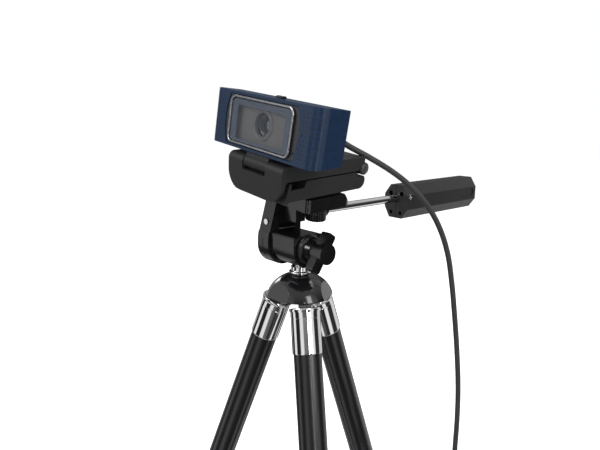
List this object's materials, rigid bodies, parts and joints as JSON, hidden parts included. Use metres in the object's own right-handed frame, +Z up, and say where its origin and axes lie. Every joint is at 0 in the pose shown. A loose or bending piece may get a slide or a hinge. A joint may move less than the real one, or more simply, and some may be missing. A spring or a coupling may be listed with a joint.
{
  "type": "webcam on tripod",
  "caption": "Rounded desktop webcam on a folding clip, screwed to a compact three-legged tripod with a pan and tilt head, grip handle and USB cable.",
  "frame": {"origin": "centre of the bounding box in plan, on the surface the feet stand on, the cable left out", "axes": "+Z up, -Y is where the webcam looks, +Y is where the handle points, +X is the wing knob's side"},
  "size_m": [0.1894, 0.2632, 0.3321],
  "materials": {
    "shell_navy": "satin",
    "band_grey": "satin",
    "bezel_silver": "bright plated",
    "window_clear": "polished",
    "lens_black": "semi-gloss",
    "lens_glass": "polished",
    "board_green": "satin",
    "back_black": "fine texture",
    "clip_charcoal": "satin",
    "pad_rubber": "matt",
    "head_black": "gloss",
    "crown_black": "high gloss",
    "chrome_bright": "polished",
    "steel_plain": "satin",
    "insert_brass": "plain",
    "leg_black": "black satin coating",
    "leg_silver": "satin",
    "tang_black": "gloss",
    "foot_rubber": "matt",
    "grip_black": "satin",
    "cable_grey": "satin",
    "tie_fabric": "matt"
  },
  "bodies": {
    "stand": {"crown": "crown_black", "neck_column": "chrome_bright", "leg_a_pivot_pin": "steel_plain", "leg_b_pivot_pin": "steel_plain", "leg_c_pivot_pin": "steel_plain", "cable_tube": "cable_grey", "cable_coil": "cable_grey", "cable_tie": "tie_fabric", "cable_tail": "cable_grey", "usb_plug_body": "cable_grey", "usb_plug_shell": "steel_plain"},
    "leg a": {"leg_a_tang": "tang_black", "leg_a_collar": "chrome_bright", "leg_a_tube": "leg_black"},
    "leg a inner": {"leg_a_inner_tube": "leg_silver", "leg_a_foot": "foot_rubber"},
    "leg b": {"leg_b_tang": "tang_black", "leg_b_collar": "chrome_bright", "leg_b_tube": "leg_black"},
    "leg b inner": {"leg_b_inner_tube": "leg_silver", "leg_b_foot": "foot_rubber"},
    "leg c": {"leg_c_tang": "tang_black", "leg_c_collar": "chrome_bright", "leg_c_tube": "leg_black"},
    "leg c inner": {"leg_c_inner_tube": "leg_silver", "leg_c_foot": "foot_rubber"},
    "pan head": {"pan_yoke": "head_black", "tension_disc": "head_black"},
    "tilt bracket": {"tilt_bracket": "head_black", "tilt_bolt": "chrome_bright", "flip_hinge_pin": "chrome_bright"},
    "wing knob": {"wing_knob": "head_black"},
    "platform": {"camera_platform": "head_black", "platform_pad": "pad_rubber"},
    "handle": {"handle_rod": "chrome_bright", "grip_shell_right": "grip_black", "grip_shell_left": "grip_black", "grip_screw_front": "steel_plain"},
    "camera screw": {"camera_screw": "steel_plain", "screw_wheel": "head_black"},
    "clip foot": {"clip_foot": "clip_charcoal", "threaded_insert": "insert_brass"},
    "clip top": {"clip_top": "clip_charcoal", "clip_grip_pad": "pad_rubber", "fold_hinge_pin": "steel_plain", "cam_hinge_pin": "steel_plain"},
    "webcam": {"front_shell": "shell_navy", "front_band": "band_grey", "window_bezel": "bezel_silver", "window": "window_clear", "lens_surround": "lens_black", "lens_barrel": "lens_black", "lens_glass": "lens_glass", "image_sensor": "lens_black", "main_board": "board_green", "rear_cover": "back_black", "hinge_neck": "clip_charcoal", "strain_relief": "cable_grey"},
    "privacy slide": {"privacy_slide": "lens_black"}
  },
  "joints": [
    {"name": "leg a fold", "type": "hinge", "parent": "stand", "child": "leg a", "pos_m": [-0.01182, -0.09021, 0.19459], "axis": [0.5, -0.866, 0], "range_deg": [0, 19.6]},
    {"name": "leg a slide", "type": "slide", "parent": "leg a", "child": "leg a inner", "axis": [-0.2912, -0.1681, -0.9418], "range_m": [0, 0.105]},
    {"name": "leg b fold", "type": "hinge", "parent": "stand", "child": "leg b", "pos_m": [0.01182, -0.09021, 0.19459], "axis": [0.5, 0.866, 0], "range_deg": [0, 19.6]},
    {"name": "leg b slide", "type": "slide", "parent": "leg b", "child": "leg b inner", "axis": [0.2912, -0.1681, -0.9418], "range_m": [0, 0.105]},
    {"name": "leg c fold", "type": "hinge", "parent": "stand", "child": "leg c", "pos_m": [0, -0.06974, 0.19459], "axis": [-1, 0, 0], "range_deg": [0, 19.6]},
    {"name": "leg c slide", "type": "slide", "parent": "leg c", "child": "leg c inner", "axis": [0, 0.3363, -0.9418], "range_m": [0, 0.105]},
    {"name": "pan", "type": "hinge", "parent": "stand", "child": "pan head", "pos_m": [0, -0.08339, 0.208], "axis": [0, 0, 1], "range_deg": [-90, 90], "deforming": ["cable_tube"]},
    {"name": "tilt", "type": "hinge", "parent": "pan head", "child": "tilt bracket", "pos_m": [0, -0.08339, 0.224], "axis": [1, 0, 0], "range_deg": [-45, 70], "deforming": ["cable_tube"]},
    {"name": "wing knob turn", "type": "hinge", "parent": "tilt bracket", "child": "wing knob", "pos_m": [0.02, -0.08339, 0.224], "axis": [1, 0, 0], "range_deg": [0, 360]},
    {"name": "portrait flip", "type": "hinge", "parent": "tilt bracket", "child": "platform", "pos_m": [-0.023, -0.08339, 0.24], "axis": [0, -1, 0], "range_deg": [0, 90], "deforming": ["cable_tube"]},
    {"name": "handle turn", "type": "hinge", "parent": "platform", "child": "handle", "pos_m": [-0.009, -0.02339, 0.2461], "axis": [0, 1, 0], "range_deg": [0, 180]},
    {"name": "camera screw turn", "type": "hinge", "parent": "platform", "child": "camera screw", "pos_m": [0, -0.068, 0.25878], "axis": [-0.1357, 0.0501, -0.9895], "range_deg": [0, 360]},
    {"name": "clip swivel", "type": "hinge", "parent": "platform", "child": "clip foot", "pos_m": [0.00128, -0.06848, 0.26808], "axis": [0.1357, -0.0501, 0.9895], "range_deg": [-60, 60], "deforming": ["cable_tube"]},
    {"name": "clip fold", "type": "hinge", "parent": "clip foot", "child": "clip top", "pos_m": [0.00312, -0.05248, 0.28238], "axis": [-0.9907, -0.0069, 0.1355], "range_deg": [0, 90], "deforming": ["cable_tube"]},
    {"name": "webcam tilt", "type": "hinge", "parent": "clip top", "child": "webcam", "pos_m": [0.00195, -0.1197, 0.28369], "axis": [0.9907, 0.0069, -0.1355], "range_deg": [-8, 20], "deforming": ["cable_tube"]},
    {"name": "privacy slide move", "type": "slide", "parent": "webcam", "child": "privacy slide", "axis": [-0.9907, -0.0069, 0.1355], "range_m": [0, 0.0176]}
  ]
}
